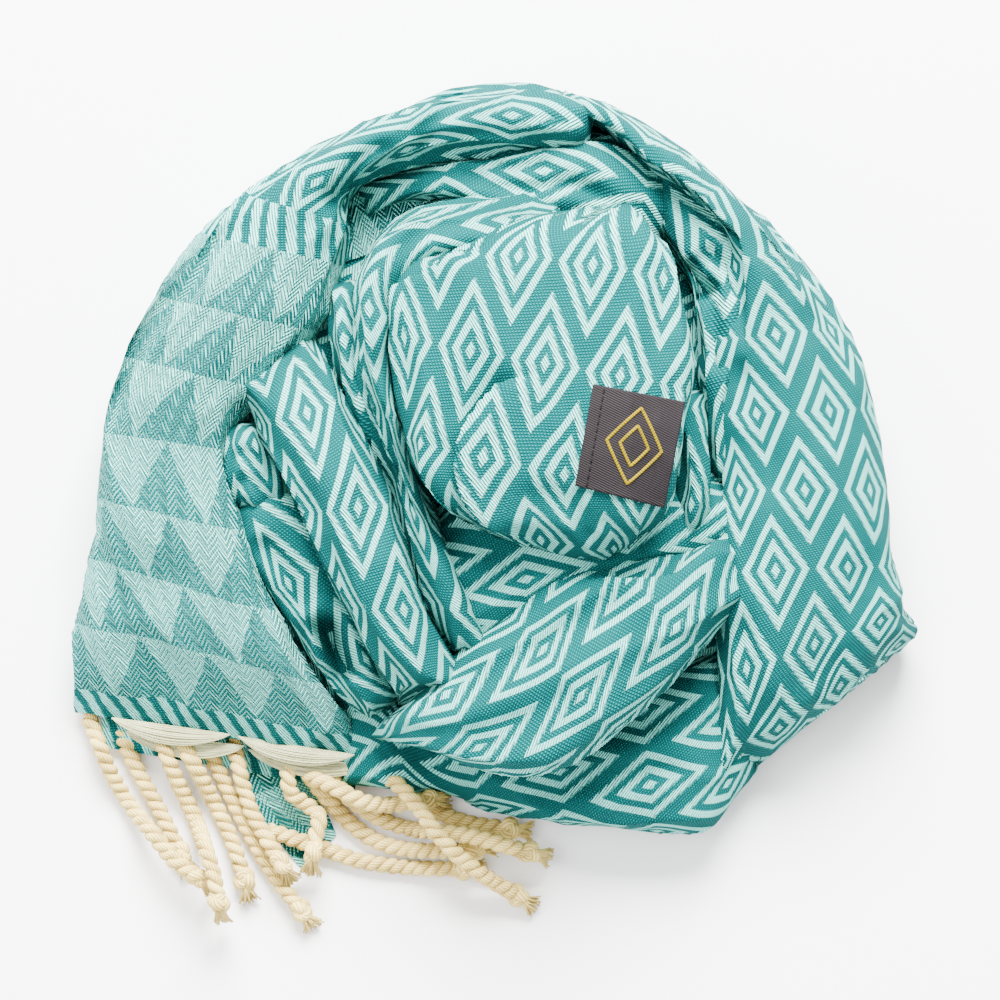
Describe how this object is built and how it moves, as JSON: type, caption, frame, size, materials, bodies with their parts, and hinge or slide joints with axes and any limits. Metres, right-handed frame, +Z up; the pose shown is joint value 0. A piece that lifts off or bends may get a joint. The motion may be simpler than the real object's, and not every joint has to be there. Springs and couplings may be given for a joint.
{
  "type": "bath towel",
  "caption": "Flat-woven cotton bath towel with a lozenge pattern, folded double and coiled into a bundle, with knotted tassels and a sewn label.",
  "frame": {"origin": "middle of the bundle's underside, where it lies on the table, tassels not counted", "axes": "+Z up from the table; +X towards the plain folded side; +Y away from the fringed end; the fringe lies towards -X -Y"},
  "size_m": [0.3248, 0.328, 0.1042],
  "materials": {
    "cloth": "matte",
    "label": "matte",
    "thread": "satin",
    "tassel_cotton": "matte"
  },
  "bodies": {
    "root": {"towel_cloth": "cloth", "label": "label", "label_seam": "thread", "label_motif_outer": "thread", "label_motif_inner": "thread", "warp_bunch_upper_left": "tassel_cotton", "warp_bunch_upper_right": "tassel_cotton", "warp_bunch_lower_left": "tassel_cotton", "warp_bunch_lower_right": "tassel_cotton", "tassel_01": "tassel_cotton", "tassel_02": "tassel_cotton", "tassel_03": "tassel_cotton", "tassel_04": "tassel_cotton", "tassel_05": "tassel_cotton", "tassel_06": "tassel_cotton", "tassel_07": "tassel_cotton", "tassel_08": "tassel_cotton", "tassel_09": "tassel_cotton", "tassel_10": "tassel_cotton", "tassel_11": "tassel_cotton", "tassel_12": "tassel_cotton", "tassel_13": "tassel_cotton", "tassel_01_knot": "tassel_cotton", "tassel_02_knot": "tassel_cotton", "tassel_03_knot": "tassel_cotton", "tassel_04_knot": "tassel_cotton", "tassel_05_knot": "tassel_cotton", "tassel_06_knot": "tassel_cotton", "tassel_07_knot": "tassel_cotton", "tassel_08_knot": "tassel_cotton", "tassel_09_knot": "tassel_cotton", "tassel_10_knot": "tassel_cotton", "tassel_11_knot": "tassel_cotton", "tassel_12_knot": "tassel_cotton", "tassel_13_knot": "tassel_cotton"}
  },
  "joints": []
}
